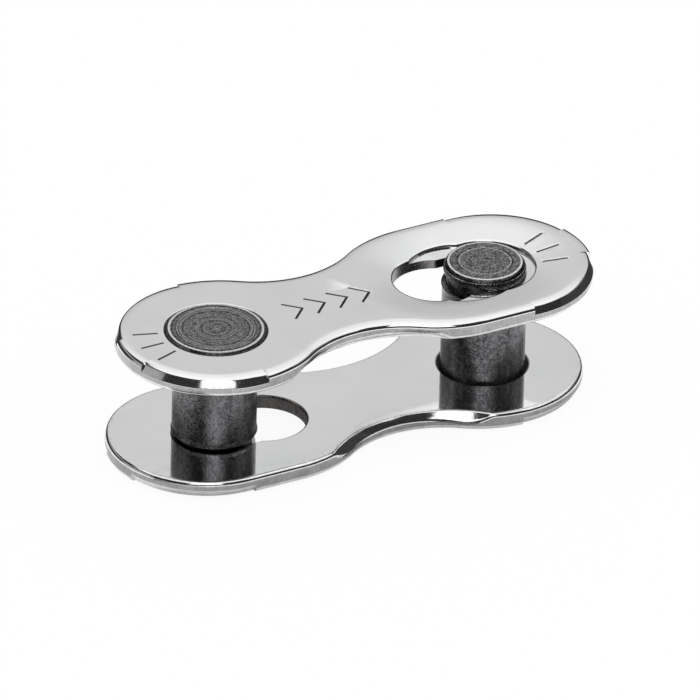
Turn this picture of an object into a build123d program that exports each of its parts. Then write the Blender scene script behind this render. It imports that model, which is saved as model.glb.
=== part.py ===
"""Connecting link for an 11-speed bicycle chain.

Two identical half-links lock into each other.  Each half is a figure-eight plate with a pin
riveted into one end and a keyhole slot at the other.  The free head of each pin passes through
the wide hole of the opposite plate and slides outwards into the narrow slot, where the head
drops behind a ledge.  The link lies flat: +X runs along the chain from the upper plate's
riveted end to its keyhole end, +Z is across the chain, and the origin is the centre of the link.
"""
from build123d import *
import math
import os

# ---- chain standard -------------------------------------------------------------------------
pitch = 12.7                    # between the two pin axes
plate_gap = 4.05                # between the inner faces of the two plates
plate_thickness = 0.80

# ---- plate outline --------------------------------------------------------------------------
rivet_end_radius = 4.22         # round about the riveted pin
slot_end_radius = 4.15
slot_end_reach = 0.45           # the keyhole end is rounded about a point this far beyond the pin
flank_inset = 2.06              # its straight flanks start this far inside the pin
shoulder_radius = 5.0           # convex arcs between the lobes and the waist
waist_radius = 4.45             # concave arc tangent to the shoulders

# ---- plate edges ----------------------------------------------------------------------------
outer_rim_radius = 0.14         # rolled edge of the outer face
inner_rim_chamfer = 0.06        # broken edge of the inner face
bevel_inset = 0.23              # shifting bevels on the outer face, at both lobes
bevel_drop = 0.40
tip_half_width = 1.10           # the tip between two bevels keeps its full section
bevel_overrun = 4.0             # degrees past the lobe's broadest point
relief_radius = 5.4             # conical relief at the waist, on the inner face
relief_width = 0.21
relief_height = 0.50            # its cone ends this far up, clear of the waist
relief_slope = 52.0             # degrees from the inner face

# ---- pin and rivet --------------------------------------------------------------------------
pin_radius = 1.775
root_chamfer = 0.15             # inner edge of the hole that the pin is pressed into
countersink_radius = 2.19       # at the plate's outer face, 90 degrees included
rivet_rim_drop = 0.09           # the rivet head leaves the countersink this far below the face
rivet_face_radius = 2.04
rivet_ring_radius = 1.67        # turned ring on the rivet head
head_proud = 0.08               # both ends of a pin stand this far out of the plates

# ---- neck and free head ---------------------------------------------------------------------
neck_radius = 1.55
nose_radius = 1.74              # where the seating cone meets the tapered nose of the body
nose_length = 0.18              # from the plate's inner face to the full body
head_radius = 1.74
head_side = 0.10                # straight side above the head's underside
head_bulge = 0.04               # rounding of the shoulder between side and face
head_face_radius = 1.58
head_ring_radius = 1.13         # turned ring on the free head
ring_depth = 0.03
ring_half_width = 0.04

# ---- keyhole slot ---------------------------------------------------------------------------
slot_travel = 2.33              # from the pin's seat to the centre of the wide hole
neck_clearance = 0.05           # also between the seating cone and the slot's inner edge
head_clearance = 0.08           # radial, in the wide hole
ledge_clearance = 0.02          # under the head
ledge_depth = 0.35              # recess below the outer face
seat_recess_radius = 2.11       # recess around the seated head
ramp_recess_radius = 2.33       # larger recess that the head slides through
ramp_recess_inset = 1.15        # its centre, inside the pin axis
seat_chamfer = 0.15             # inner edge of the narrow slot
sink_depth = 0.165              # the outer face dips this far towards the keyhole
sink_width = 1.50

# ---- derived places -------------------------------------------------------------------------
pin_x = pitch / 2
inner_z = plate_gap / 2
outer_z = inner_z + plate_thickness
end_z = outer_z + head_proud
slot_half_width = neck_radius + neck_clearance
wide_hole_radius = head_radius + head_clearance
wide_hole_x = pin_x - slot_travel
ledge_z = outer_z - ledge_depth
head_z = ledge_z + ledge_clearance
rivet_cone_z = outer_z - (countersink_radius - pin_radius)
seat_cone_z = inner_z + seat_chamfer
nose_z = seat_cone_z - (nose_radius - neck_radius)
body_z = inner_z - nose_length
slot_end_x = pin_x + slot_end_reach
flank_x = pin_x - flank_inset

# The waist arc touches both shoulder arcs, so its centre is equally far from theirs.
rivet_shoulder_y = rivet_end_radius - shoulder_radius
slot_shoulder_y = slot_end_radius - shoulder_radius
shoulder_span = Vector(flank_x + pin_x, slot_shoulder_y - rivet_shoulder_y)
waist_reach = math.sqrt((waist_radius + shoulder_radius) ** 2 - (shoulder_span.length / 2) ** 2)
waist_offset = shoulder_span * 0.5 + shoulder_span.normalized().rotate(Axis.Z, 90) * waist_reach
waist_x = waist_offset.X - pin_x
waist_y = waist_offset.Y + rivet_shoulder_y
waist_half_width = waist_y - waist_radius
rivet_shoulder_arc = math.degrees(math.atan2(waist_x + pin_x, waist_y - rivet_shoulder_y))
slot_shoulder_arc = math.degrees(math.atan2(flank_x - waist_x, waist_y - slot_shoulder_y))
waist_arc = rivet_shoulder_arc + slot_shoulder_arc

relief_y = waist_half_width - relief_width + relief_radius
relief_tip = relief_radius - relief_height / math.tan(math.radians(relief_slope))
bevel_slope = bevel_drop / bevel_inset
cut_margin = 0.3                # how far cutters reach past the surface they cut

os.makedirs("parts", exist_ok=True)


# ---- plate ----------------------------------------------------------------------------------
with BuildPart() as upper_plate:
    # Figure-eight blank: half of the outline is drawn and mirrored across the chain line.
    with BuildSketch(Plane.XY.offset(inner_z)):
        with BuildLine():
            CenterArc((-pin_x, 0), rivet_end_radius, 90, 90)
            CenterArc((-pin_x, rivet_shoulder_y), shoulder_radius, 90, -rivet_shoulder_arc)
            CenterArc((waist_x, waist_y), waist_radius, 270 - rivet_shoulder_arc, waist_arc)
            CenterArc((flank_x, slot_shoulder_y), shoulder_radius, 90, slot_shoulder_arc)
            Line((flank_x, slot_end_radius), (slot_end_x, slot_end_radius))
            CenterArc((slot_end_x, 0), slot_end_radius, 0, 90)
            mirror(about=Plane.XZ)
        make_face()
    extrude(amount=plate_thickness)
    fillet(upper_plate.edges().group_by(Axis.Z)[-1], outer_rim_radius)
    chamfer(upper_plate.edges().group_by(Axis.Z)[0], inner_rim_chamfer)

    # Four bevels on the outer face, two at each lobe, end square at the tip and at the waist.
    for lobe_x, lobe_radius, outward in (
        (-pin_x, rivet_end_radius, 180),
        (slot_end_x, slot_end_radius, 0),
    ):
        bevel_start = math.degrees(math.asin(tip_half_width / lobe_radius))
        bevel_arc = 90 + bevel_overrun - bevel_start
        for first_angle in (outward + bevel_start, outward - bevel_start - bevel_arc):
            start = math.radians(first_angle)
            section = Plane(
                origin=(lobe_x, 0, outer_z),
                x_dir=(math.cos(start), math.sin(start), 0),
                z_dir=(math.sin(start), -math.cos(start), 0),
            )
            with BuildSketch(section):
                with BuildLine():
                    Polyline(
                        (lobe_radius - bevel_inset, 0),
                        (lobe_radius + cut_margin, -bevel_drop - cut_margin * bevel_slope),
                        (lobe_radius + cut_margin, cut_margin),
                        (lobe_radius - bevel_inset, cut_margin),
                        close=True,
                    )
                make_face()
            revolve(axis=Axis((lobe_x, 0, 0), (0, 0, 1)), revolution_arc=bevel_arc, mode=Mode.SUBTRACT)

    # Conical relief on the inner face, milled from both sides of the waist.
    with Locations((waist_x, relief_y, inner_z), (waist_x, -relief_y, inner_z)):
        Cone(
            relief_radius,
            relief_tip,
            relief_height,
            align=(Align.CENTER, Align.CENTER, Align.MIN),
            mode=Mode.SUBTRACT,
        )

    # The outer face dips gently towards the keyhole, from all sides.
    for dip_x, dip_radius in (
        (pin_x, seat_recess_radius),
        (pin_x - ramp_recess_inset, ramp_recess_radius),
        (wide_hole_x, wide_hole_radius),
    ):
        with Locations((dip_x, 0, outer_z)):
            Cone(
                dip_radius,
                dip_radius + sink_width,
                sink_depth,
                align=(Align.CENTER, Align.CENTER, Align.MAX),
                mode=Mode.SUBTRACT,
            )

    # Recess on the outer face: the head's seat and the wider part that it slides through.
    with BuildSketch(Plane.XY.offset(outer_z)):
        with Locations((pin_x, 0)):
            Circle(seat_recess_radius)
        with Locations((pin_x - ramp_recess_inset, 0)):
            Circle(ramp_recess_radius)
    extrude(amount=-ledge_depth, mode=Mode.SUBTRACT)

    # Keyhole through the plate: wide hole for the head, narrow slot for the neck.
    with BuildSketch(Plane.XY.offset(inner_z)):
        with Locations((wide_hole_x, 0)):
            Circle(wide_hole_radius)
        with Locations((wide_hole_x + slot_travel / 2, 0)):
            SlotCenterToCenter(slot_travel, 2 * slot_half_width)
    extrude(amount=plate_thickness, mode=Mode.SUBTRACT)
    with BuildSketch(Plane.XY.offset(inner_z)):
        with Locations((wide_hole_x + slot_travel / 2, 0)):
            SlotCenterToCenter(slot_travel, 2 * (slot_half_width + seat_chamfer))
    extrude(amount=seat_chamfer, taper=45, mode=Mode.SUBTRACT)

    # Countersunk hole that the pin is riveted into, with a broken edge on the inner face.
    with Locations((-pin_x, 0, outer_z)):
        CounterSinkHole(pin_radius, countersink_radius, counter_sink_angle=90)
    with Locations((-pin_x, 0, inner_z)):
        Cone(
            pin_radius + root_chamfer,
            pin_radius,
            root_chamfer,
            align=(Align.CENTER, Align.CENTER, Align.MIN),
            mode=Mode.SUBTRACT,
        )

# ---- pin ------------------------------------------------------------------------------------
with BuildPart() as upper_pin:
    # Half section, from the rivet head above the plate down to the free head.
    with BuildSketch(Plane(origin=(-pin_x, 0, 0), x_dir=(1, 0, 0), z_dir=(0, -1, 0))):
        with BuildLine():
            Polyline(
                (0, end_z),
                (rivet_ring_radius - ring_half_width, end_z),
                (rivet_ring_radius, end_z - ring_depth),
                (rivet_ring_radius + ring_half_width, end_z),
                (rivet_face_radius, end_z),
                (countersink_radius - rivet_rim_drop, outer_z - rivet_rim_drop),
                (pin_radius, rivet_cone_z),
                (pin_radius, -body_z),
                (nose_radius, -nose_z),
                (neck_radius, -seat_cone_z),
                (neck_radius, -head_z),
                (head_radius, -head_z),
                (head_radius, -head_z - head_side),
            )
            SagittaArc((head_radius, -head_z - head_side), (head_face_radius, -end_z), -head_bulge)
            Polyline(
                (head_face_radius, -end_z),
                (head_ring_radius + ring_half_width, -end_z),
                (head_ring_radius, ring_depth - end_z),
                (head_ring_radius - ring_half_width, -end_z),
                (0, -end_z),
                (0, end_z),
            )
        make_face()
    revolve(axis=Axis((-pin_x, 0, 0), (0, 0, 1)))

# ---- second half-link -----------------------------------------------------------------------
with BuildPart() as lower_plate:
    add(upper_plate.part, rotation=(0, 180, 0))

with BuildPart() as lower_pin:
    add(upper_pin.part, rotation=(0, 180, 0))

upper_plate.part.label = "upper_plate"
upper_pin.part.label = "upper_pin"
lower_plate.part.label = "lower_plate"
lower_pin.part.label = "lower_pin"
export_step(upper_plate.part, "parts/upper_plate.step")
export_step(upper_pin.part, "parts/upper_pin.step")
export_step(lower_plate.part, "parts/lower_plate.step")
export_step(lower_pin.part, "parts/lower_pin.step")
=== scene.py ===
"""Looks of a bicycle-chain connecting link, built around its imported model.

Two identical half-links lie locked together.  Each half is a stamped, nickel-plated plate with a
dark pin riveted into one end and a keyhole at the other.  Sizes are in millimetres and every mesh
is written in metres.  A half-link is worked out once, as the upper one, and the lower one is the
same shape turned half round about Y.
"""
import logging
import math
from dataclasses import dataclass
from enum import Enum, IntEnum

import bmesh
import bpy
import numpy as np
from mathutils import Matrix, Vector
from mathutils.geometry import delaunay_2d_cdt


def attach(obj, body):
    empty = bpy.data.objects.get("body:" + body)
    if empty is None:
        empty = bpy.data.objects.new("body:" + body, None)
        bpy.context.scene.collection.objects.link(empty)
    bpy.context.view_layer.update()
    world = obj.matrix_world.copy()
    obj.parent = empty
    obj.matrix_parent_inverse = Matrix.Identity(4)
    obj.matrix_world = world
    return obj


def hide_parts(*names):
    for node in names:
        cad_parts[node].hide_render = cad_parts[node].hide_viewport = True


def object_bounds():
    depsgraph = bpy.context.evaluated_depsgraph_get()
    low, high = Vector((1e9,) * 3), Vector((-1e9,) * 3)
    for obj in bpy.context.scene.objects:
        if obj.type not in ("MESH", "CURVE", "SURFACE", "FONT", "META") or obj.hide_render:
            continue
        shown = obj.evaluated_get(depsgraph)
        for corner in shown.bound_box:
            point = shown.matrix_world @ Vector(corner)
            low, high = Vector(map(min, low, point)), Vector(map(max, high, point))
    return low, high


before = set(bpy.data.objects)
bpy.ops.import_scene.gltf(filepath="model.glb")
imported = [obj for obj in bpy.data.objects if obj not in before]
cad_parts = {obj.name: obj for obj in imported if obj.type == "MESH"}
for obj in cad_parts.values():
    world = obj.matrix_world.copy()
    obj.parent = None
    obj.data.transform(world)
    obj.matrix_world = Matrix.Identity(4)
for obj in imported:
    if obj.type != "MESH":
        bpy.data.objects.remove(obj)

CAD_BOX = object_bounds()
MM = 0.001
PIN_X = 6.35                    # half the chain's pitch
INNER_Z = 2.025                 # half the gap between the plates
THICKNESS = 0.80                # of a plate
OUTER_Z = INNER_Z + THICKNESS
WELD = 0.0002                   # points closer than this are one
CREASE = 28.0                   # degrees; a sharper edge is shaded as an edge
LATTICE = 0.13                  # spacing of the points inside a face that isn't flat
EDGE_ROOM = 0.6 * LATTICE       # no such point lies nearer to an edge
Array = np.ndarray
Spot = tuple[float, float]
Triple = tuple[float, float, float]
log = logging.getLogger("connecting_link")


# ---- numpy surfaces -------------------------------------------------------------------------
def arc(centre_x: float, radius: float, start: float, end: float, steps: int) -> Array:
    """An arc about (centre_x, 0): centre + radius * (cos a, sin a), with a going evenly.

    Args:
        centre_x: Place of the centre along the chain.
        radius: Its radius.
        start: First angle a, in degrees.
        end: Last angle.
        steps: Number of equal steps.

    Returns:
        Array of steps + 1 points.
    """
    turn = np.radians(np.linspace(start, end, steps + 1))
    return np.stack([centre_x + radius * np.cos(turn), radius * np.sin(turn)], axis=1)


def rounded(before: Spot, corner: Spot, after: Spot, radius: float, steps: int) -> Array:
    """The arc that rounds a corner: it touches both legs at radius * tan(half the turn) from it.

    Args:
        before: A point on the leg that comes in.
        corner: The corner.
        after: A point on the leg that goes out.
        radius: Radius of the rounding.
        steps: Number of equal steps.

    Returns:
        Array of steps + 1 points, both touching points included.
    """
    incoming, outgoing = (
        np.subtract(b, a) / np.linalg.norm(np.subtract(b, a))
        for a, b in ((before, corner), (corner, after))
    )
    cross = incoming[0] * outgoing[1] - incoming[1] * outgoing[0]
    turn = math.atan2(cross, float(incoming @ outgoing))
    side = np.array([-incoming[1], incoming[0]]) * math.copysign(1, turn)
    centre = np.asarray(corner) - incoming * radius * math.tan(abs(turn) / 2) + side * radius
    swing = np.linspace(0, abs(turn), steps + 1)[:, None]
    return centre + radius * (incoming * np.sin(swing) - side * np.cos(swing))


def filleted(path: list[tuple[float, ...]]) -> Array:
    """A path with rounded corners.

    Args:
        path: Corners, as (x, y) if sharp and as (x, y, radius, steps) if rounded.

    Returns:
        Its points.
    """
    corners = zip([path[0], *path], path, [*path[1:], path[-1]])
    return np.concatenate([
        rounded(before[:2], corner[:2], after[:2], *corner[2:]) if corner[2:] else [corner]
        for before, corner, after in corners
    ])


def leaning(start: Spot, bends: list[tuple[float, float, int]], lean: float = 0.0) -> Array:
    """A rim profile that leans inwards: a bend of radius r goes by r * (-cos a, sin a).

    The lean a is the angle from upright, in degrees, and each bend takes it to its own last one.

    Args:
        start: First point, as (inset, height).
        bends: Radius, last lean and number of steps of each bend.
        lean: Lean at the start.

    Returns:
        Points from the start to the end of the last bend.
    """
    runs, spot = [np.array([start])], np.asarray(start)
    for radius, last, steps in bends:
        turn = np.radians(np.linspace(lean, last, steps + 1))
        run = radius * np.stack(
            [np.cos(turn[0]) - np.cos(turn), np.sin(turn) - np.sin(turn[0])], axis=1)
        runs.append(spot + run[1:])
        spot, lean = spot + run[-1], last
    return np.concatenate(runs)


def lifted(points: Array, height: float | Array) -> Array:
    """Plane points with a height added as their third coordinate."""
    return np.concatenate([points, np.broadcast_to(height, points.shape[:-1])[..., None]], axis=-1)


def revolved(profile: Array, columns: int) -> Array:
    """A profile turned about the upper pin's axis, at x = -PIN_X: (x + r cos a, r sin a, z).

    Args:
        profile: Rows of (radius, height).
        columns: Number of equal steps round the axis.

    Returns:
        Grid of rows x (columns + 1) points; its last column lies on its first.
    """
    turn = np.linspace(0, 2 * np.pi, columns + 1)
    radius, height = profile[:, :1], profile[:, 1:]
    return np.stack(
        [-PIN_X + radius * np.cos(turn), radius * np.sin(turn), height + 0 * turn], axis=-1)


def placed(name: str, data: bpy.types.ID) -> bpy.types.Object:
    """An object made from a mesh, camera or lamp and put into the scene.

    Args:
        name: Name of the object.
        data: What it shows.

    Returns:
        The object.
    """
    made = bpy.data.objects.new(name, data)
    bpy.context.scene.collection.objects.link(made)
    return made


class Patchwork:
    """Collects surface patches of one piece and sews them into a mesh."""

    def __init__(self) -> None:
        """Starts with no patch."""
        self.points: list[Array] = []
        self.faces: list[list[int]] = []
        self.owners: list[int] = []
        self.count = 0

    def add(self, points: Array, faces: Array, finish: int) -> None:
        """Adds points, the faces that index them, and the number of their finish.

        Args:
            points: Coordinates, in millimetres.
            faces: Rows of indices into these points.
            finish: Number of the finish.
        """
        self.points.append(points.reshape(-1, 3))
        self.faces += (faces + self.count).tolist()
        self.owners += [finish] * len(faces)
        self.count += len(self.points[-1])

    def grid(self, points: Array, finish: int) -> None:
        """Adds a grid of rows x columns points as quads that face along columns x rows.

        Args:
            points: Rows x columns x 3 coordinates, in millimetres.
            finish: Number of the finish.
        """
        rows, columns = points.shape[:2]
        corner = np.arange(rows - 1)[:, None] * columns + np.arange(columns - 1)
        self.add(points, corner.reshape(-1, 1) + [0, 1, columns + 1, columns], finish)

    def flat(self, loops: list[Array], height: float, up: bool,
             between: Array | None = None) -> None:
        """Fills the flat area inside the first loop and outside the others with triangles.

        Args:
            loops: Closed outlines, each with its points once.
            height: Height of the face.
            up: True if it faces up.
            between: More corners for the triangles; those off the face are left out.
        """
        starts = np.cumsum([0] + [len(loop) for loop in loops])
        rings = [list(range(a, b)) for a, b in zip(starts, starts[1:])]
        edges = np.concatenate(loops)
        if between is not None:
            gap = np.linalg.norm(between[:, None] - edges[None], axis=2).min(axis=1)
            edges = np.concatenate([edges, between[gap > EDGE_ROOM]])
        corners = [Vector(p) for p in edges.tolist()]
        found = delaunay_2d_cdt(corners, [], rings[:1] + [r[::-1] for r in rings[1:]], 2, 1e-6)
        used, faces = np.unique(np.array(found[2]), return_inverse=True)
        spots, faces = np.array([tuple(p) for p in found[0]])[used], faces.reshape(-1, 3)
        self.add(lifted(spots, height), faces if up else faces[:, ::-1], Face.FACE)

    def piece(self, name: str, finishes: list[bpy.types.Material], turn: int) -> bpy.types.Object:
        """Sews the patches into one mesh object.

        Args:
            name: Name of the piece.
            finishes: Materials, in the order of the patches' finish numbers.
            turn: 1 for the upper half, -1 to turn the piece half round about Y.

        Returns:
            The piece, in metres, with its place in its mesh.
        """
        points = np.concatenate(self.points) * MM * np.array([turn, 1, turn])
        mesh = bpy.data.meshes.new(name)
        mesh.from_pydata(points, [], self.faces)
        mesh.polygons.foreach_set("material_index", np.array(self.owners, np.int32))
        for finish in finishes:
            mesh.materials.append(finish)
        sewn = bmesh.new()
        sewn.from_mesh(mesh)
        bmesh.ops.remove_doubles(sewn, verts=sewn.verts, dist=WELD * MM)
        bmesh.ops.dissolve_degenerate(sewn, edges=sewn.edges, dist=WELD * MM)
        sewn.to_mesh(mesh)
        open_edges = sum(not edge.is_manifold for edge in sewn.edges)
        sewn.free()
        mesh.polygons.foreach_set("use_smooth", np.ones(len(mesh.polygons), bool))
        mesh.set_sharp_from_angle(angle=math.radians(CREASE))
        log.info("%s: %d faces, %d open edges", name, len(mesh.polygons), open_edges)
        return placed(name, mesh)


# ---- shader maths ---------------------------------------------------------------------------
class Value:
    """A number inside a shader, with Python's operators standing for Math nodes."""

    def __init__(self, nodes: "Nodes", socket: bpy.types.NodeSocket) -> None:
        """Wraps an output socket of a node tree."""
        self.nodes = nodes
        self.socket = socket

    def math(self, operation: str, *others: "Value | float") -> "Value":
        """Adds a Math node that takes this value and the others in order.

        Args:
            operation: The node's operation.
            others: Values or numbers for its other sockets.

        Returns:
            The result.
        """
        node = self.nodes.add("ShaderNodeMath", {"operation": operation},
                              dict(enumerate((self, *others))))
        return Value(self.nodes, node.outputs[0])

    def __add__(self, other: "Value | float") -> "Value":
        """Sum."""
        return self.math("ADD", other)

    __radd__ = __add__

    def __mul__(self, other: "Value | float") -> "Value":
        """Product."""
        return self.math("MULTIPLY", other)

    __rmul__ = __mul__

    def __sub__(self, other: "Value | float") -> "Value":
        """Difference."""
        return self.math("SUBTRACT", other)

    def __rsub__(self, other: float) -> "Value":
        """Difference, with the number first."""
        return self.math("MULTIPLY_ADD", -1.0, other)

    def between(self, low: float, high: float) -> "Value":
        """0 below low, 1 above high and a smooth step between them; low may be the larger.

        Args:
            low: Where the step starts.
            high: Where it ends.

        Returns:
            The step, from 0 to 1.
        """
        inputs = {"Value": self, "From Min": low, "From Max": high}
        node = self.nodes.add("ShaderNodeMapRange", {"interpolation_type": "SMOOTHSTEP"}, inputs)
        return Value(self.nodes, node.outputs[0])

    def stretched(self) -> "Value":
        """Noise with its contrast raised, so it reaches 0 and 1."""
        return self.between(0.3, 0.7)


class Nodes:
    """Makes the nodes of one tree."""

    def __init__(self, tree: bpy.types.NodeTree) -> None:
        """Empties the tree that it will fill."""
        self.tree = tree
        tree.nodes.clear()

    def add(self, kind: str, settings: dict | None = None,
            inputs: dict | None = None) -> bpy.types.Node:
        """Adds one node.

        Args:
            kind: Node type, such as ShaderNodeMath.
            settings: Properties to set first.
            inputs: Socket name or number to a number, a colour, a Value or an output socket.

        Returns:
            The node.
        """
        node = self.tree.nodes.new(kind)
        for name, value in (settings or {}).items():
            setattr(node, name, value)
        for name, value in (inputs or {}).items():
            source = value.socket if isinstance(value, Value) else value
            if isinstance(source, bpy.types.NodeSocket):
                self.tree.links.new(source, node.inputs[name])
            else:
                node.inputs[name].default_value = source
        return node

    def place(self, stretch: Triple = (1, 1, 1)) -> bpy.types.NodeSocket:
        """Object coordinates in millimetres, stretched along each axis.

        Args:
            stretch: Factor along each axis.

        Returns:
            The coordinates.
        """
        spot = self.add("ShaderNodeTexCoord").outputs["Object"]
        scale = tuple(s / MM for s in stretch)
        return self.add("ShaderNodeMapping", inputs={"Vector": spot, "Scale": scale}).outputs[0]

    def noise(self, scale: float, detail: float = 4.0, roughness: float = 0.55,
              stretch: Triple = (1, 1, 1), distortion: float = 0.0) -> Value:
        """Noise from 0 to 1 whose grain is 1 / scale millimetres, and finer where stretched.

        Args:
            scale: Grains to a millimetre.
            detail: Number of finer layers.
            roughness: Strength of the finer layers.
            stretch: Factor along each axis.
            distortion: How far the grain is bent.

        Returns:
            The noise.
        """
        inputs = {"Vector": self.place(stretch), "Scale": scale, "Detail": detail,
                  "Roughness": roughness, "Distortion": distortion}
        return Value(self, self.add("ShaderNodeTexNoise", inputs=inputs).outputs[0])

    def grooves(self, radius: Value, scale: float) -> Value:
        """Noise from 0 to 1 that changes with the radius alone, as a lathe tool leaves it.

        Args:
            radius: Distance from the axis, in millimetres.
            scale: Grooves to a millimetre.

        Returns:
            The noise.
        """
        inputs = {"W": radius, "Scale": scale, "Detail": 3.0, "Roughness": 0.6}
        noise = self.add("ShaderNodeTexNoise", {"noise_dimensions": "1D"}, inputs)
        return Value(self, noise.outputs[0])

    def split(self, vector: bpy.types.NodeSocket) -> tuple[Value, Value, Value]:
        """The three parts of a vector."""
        parts = self.add("ShaderNodeSeparateXYZ", inputs={0: vector}).outputs
        return Value(self, parts[0]), Value(self, parts[1]), Value(self, parts[2])

    def ray(self, kind: str) -> Value:
        """1 for one kind of light ray, such as Camera, and 0 for the others."""
        return Value(self, self.add("ShaderNodeLightPath").outputs[f"Is {kind} Ray"])

    def tint(self, factor: Value, dark: Triple | bpy.types.NodeSocket,
             light: Triple) -> bpy.types.NodeSocket:
        """A colour between dark, at 0, and light, at 1.

        Args:
            factor: Share of the light colour.
            dark: Colour at 0, or a socket that gives it.
            light: Colour at 1.

        Returns:
            The colour.
        """
        settings = {"data_type": "RGBA", "clamp_factor": True}
        inputs = {0: factor, 6: (*dark, 1.0) if isinstance(dark, tuple) else dark, 7: (*light, 1.0)}
        return self.add("ShaderNodeMix", settings, inputs).outputs[2]

    def bump(self, height: Value, depth: float) -> bpy.types.NodeSocket:
        """A bumped normal; height 0 to 1 stands for depth millimetres."""
        inputs = {"Height": height, "Distance": depth * MM}
        return self.add("ShaderNodeBump", inputs=inputs).outputs[0]


# ---- finishes -------------------------------------------------------------------------------
@dataclass(frozen=True)
class Look:
    """What varies, from 0 to 1: shade, roughness, height and a painted highlight in bright metal
    colour.
    """

    shade: Value
    rough: Value
    height: Value
    painted_highlight: Value | None = None


@dataclass(frozen=True)
class Finish:
    """A metal surface.  Subclasses say what varies over it."""

    name: str
    dark: Triple
    light: Triple
    rough_low: float
    rough_high: float
    bump_depth: float
    # colour of the painted highlights
    painted_highlight_colour: Triple = (0.86, 0.86, 0.85)

    def look(self, nodes: Nodes) -> Look:
        """The values that set colour, roughness and height."""
        raise NotImplementedError

    def material(self) -> bpy.types.Material:
        """The finish as a material: metal whose colour, roughness and normal follow its look.

        Returns:
            The material.
        """
        made = bpy.data.materials.new(self.name)
        made.use_nodes = True
        nodes = Nodes(made.node_tree)
        look = self.look(nodes)
        colour = nodes.tint(look.shade, self.dark, self.light)
        if look.painted_highlight is not None:
            colour = nodes.tint(look.painted_highlight, colour, self.painted_highlight_colour)
        metal = nodes.add("ShaderNodeBsdfPrincipled", inputs={
            "Base Color": colour,
            "Metallic": 1.0,
            "Roughness": look.rough * (self.rough_high - self.rough_low) + self.rough_low,
            "Normal": nodes.bump(look.height, self.bump_depth),
        })
        nodes.add("ShaderNodeOutputMaterial", inputs={"Surface": metal.outputs[0]})
        return made


@dataclass(frozen=True)
class PolishedNickel(Finish):
    """Barrelled and plated face: faint clouds, pits and hairlines on a mirror."""

    cloud_scale: float = 0.35
    smear_scale: float = 1.4
    smear_stretch: Triple = (1.0, 3.0, 1.0)
    smear_contrast: Spot = (0.35, 0.75)
    hair_scale: float = 2.6
    hair_stretch: Triple = (0.6, 9.0, 1.0)
    hair_bend: float = 0.4

    def look(self, nodes: Nodes) -> Look:
        """Broad clouds for colour, finer ones for roughness, and hairlines for height.

        Args:
            nodes: Maker of the material's nodes.

        Returns:
            What varies.
        """
        clouds = nodes.noise(self.cloud_scale, 3.0)
        smears = nodes.noise(self.smear_scale, 5.0, 0.6, self.smear_stretch)
        hairs = nodes.noise(self.hair_scale, 2.0, 0.5, self.hair_stretch, self.hair_bend)
        return Look(clouds.stretched(), smears.between(*self.smear_contrast), hairs)


@dataclass(frozen=True)
class ShearedEdge(Finish):
    """Stamped side wall: short upright strokes left by the punch, under the plating."""

    streak_scale: float = 13.0
    streak_stretch: Triple = (1.0, 1.0, 0.3)
    grain_scale: float = 24.0
    patch_scale: float = 2.2
    shade_shares: Triple = (0.4, 0.25, 0.35)
    shade_contrast: Spot = (0.32, 0.68)
    height_shares: Spot = (0.6, 0.4)

    def look(self, nodes: Nodes) -> Look:
        """Upright streaks and a mottled grain together, for all three.

        Args:
            nodes: Maker of the material's nodes.

        Returns:
            What varies.
        """
        streaks = nodes.noise(self.streak_scale, 3.0, 0.6, self.streak_stretch)
        grain = nodes.noise(self.grain_scale, 2.0, 0.6)
        patches = nodes.noise(self.patch_scale, 3.0, 0.6)
        streak, fine, broad = self.shade_shares
        shade = (streaks * streak + grain * fine + patches * broad).between(*self.shade_contrast)
        streak, fine = self.height_shares
        return Look(shade, grain.stretched(), streaks * streak + grain * fine)


@dataclass(frozen=True)
class EtchedMark(Finish):
    """Bottom of the marks on the outer face: dark and dull."""

    grain_scale: float = 18.0

    def look(self, nodes: Nodes) -> Look:
        """A fine grain for all three."""
        grain = nodes.noise(self.grain_scale, 3.0, 0.6)
        return Look(grain.stretched(), grain, grain)


@dataclass(frozen=True)
class HighlightLine:
    """A painted highlight: a bright line, as a ring at a radius on a pin's end, or a band at a
    height.
    """

    place: float
    half_width: float
    strength: float

    def along(self, across: Value) -> Value:
        """The line, across a value that is its radius or height."""
        off = (across - self.place).math("ABSOLUTE")
        return off.between(self.half_width, self.half_width * 0.5) * self.strength


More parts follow.
